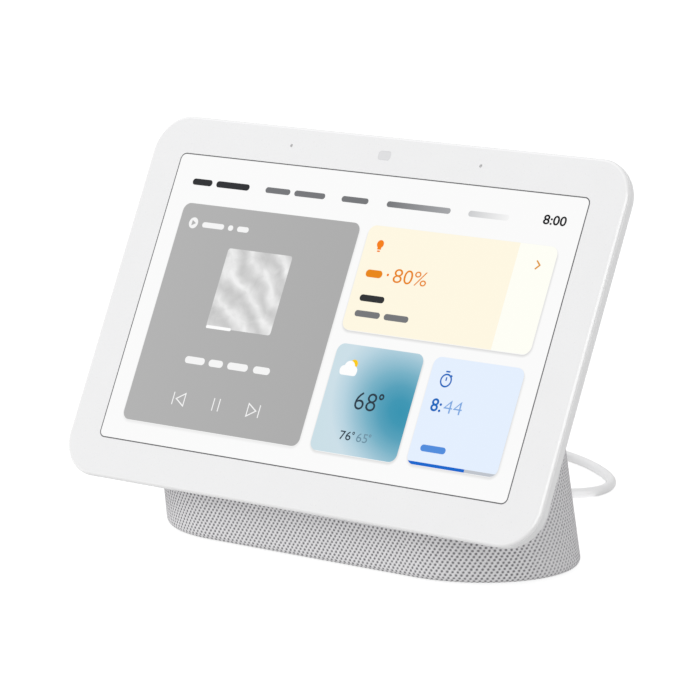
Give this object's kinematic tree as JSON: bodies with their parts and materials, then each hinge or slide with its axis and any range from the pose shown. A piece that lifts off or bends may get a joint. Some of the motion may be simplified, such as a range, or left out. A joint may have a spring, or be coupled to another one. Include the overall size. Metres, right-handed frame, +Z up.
{
  "type": "smart display",
  "caption": "Smart display: a tilted glass-fronted head on a fabric-covered loudspeaker base, with volume rocker, microphone switch and power cord.",
  "frame": {"origin": "middle of the object's footprint on the table, without the cord", "axes": "+Z up, screen faces -Y, +X to the viewer's right"},
  "size_m": [0.1827, 0.1759, 0.1203],
  "materials": {
    "bezel_glass": "glossy",
    "sensor_lens": "glossy",
    "mic_mesh": "woven",
    "white_print": "matte",
    "lcd_glass": "glossy",
    "diffuser": "matte",
    "tray_metal": "satin",
    "graphite": "matte",
    "circuit_board": "satin",
    "chip_black": "matte",
    "screw_steel": "machined",
    "white_plastic": "matte",
    "slider_plastic": "matte",
    "black_plastic": "matte",
    "bracket_steel": "pressed",
    "flex_film": "film",
    "shell_plastic": "matte",
    "grey_fabric": "woven",
    "foot_rubber": "matte",
    "magnet": "matte",
    "copper": "wound",
    "spider_cloth": "woven",
    "cone_paper": "fibrous",
    "black_rubber": "matte",
    "wire_plastic": "satin",
    "cord_plastic": "satin",
    "tie_plastic": "satin"
  },
  "bodies": {
    "display": {"front_glass": "bezel_glass", "sensor_window": "sensor_lens", "mic_meshes": "mic_mesh", "print_mask": "white_print", "lcd_panel": "lcd_glass", "backlight": "diffuser", "display_tray": "tray_metal", "heat_spreader": "graphite", "sensor_board": "circuit_board", "main_board": "circuit_board", "board_chips": "chip_black", "shield_can": "tray_metal", "board_screws": "screw_steel", "head_housing": "white_plastic", "button_board": "circuit_board", "mic_switch": "black_plastic", "neck_bracket": "bracket_steel", "bracket_screws": "screw_steel", "neck_flex": "flex_film", "base_shell": "shell_plastic", "fabric_cover": "grey_fabric", "bottom_plate": "shell_plastic", "base_screws": "screw_steel", "rubber_foot": "foot_rubber", "ballast": "bracket_steel", "speaker_enclosure": "black_plastic", "speaker_basket": "bracket_steel", "speaker_magnet": "magnet", "speaker_plates": "bracket_steel", "spider": "spider_cloth", "surround": "black_rubber", "speaker_wires": "wire_plastic", "power_board": "circuit_board", "dc_jack": "black_plastic", "plug_pin": "screw_steel", "dc_plug": "cord_plastic", "cord_lead": "cord_plastic", "cord_coil": "cord_plastic", "cord_tail": "cord_plastic", "cord_tie": "tie_plastic", "adapter_relief": "cord_plastic", "adapter_body": "white_plastic", "adapter_blades": "screw_steel"},
    "rocker": {"volume_rocker": "white_plastic"},
    "slider": {"mic_slider": "slider_plastic"},
    "cone": {"speaker_cone": "cone_paper", "dust_cap": "cone_paper", "voice_coil": "copper"}
  },
  "joints": [
    {"name": "volume_rock", "type": "hinge", "parent": "display", "child": "rocker", "pos_m": [0.0808, -0.00088, 0.07331], "axis": [1, 0, 0], "range_deg": [-2, 2], "stiffness_Nm_per_rad": 0.6},
    {"name": "mic_mute", "type": "slide", "parent": "display", "child": "slider", "axis": [1, 0, 0], "range_m": [0, 0.0024]},
    {"name": "cone_stroke", "type": "slide", "parent": "display", "child": "cone", "axis": [0, 0.9669, 0.2553], "range_m": [-0.001, 0.001], "stiffness_N_per_m": 1500}
  ]
}
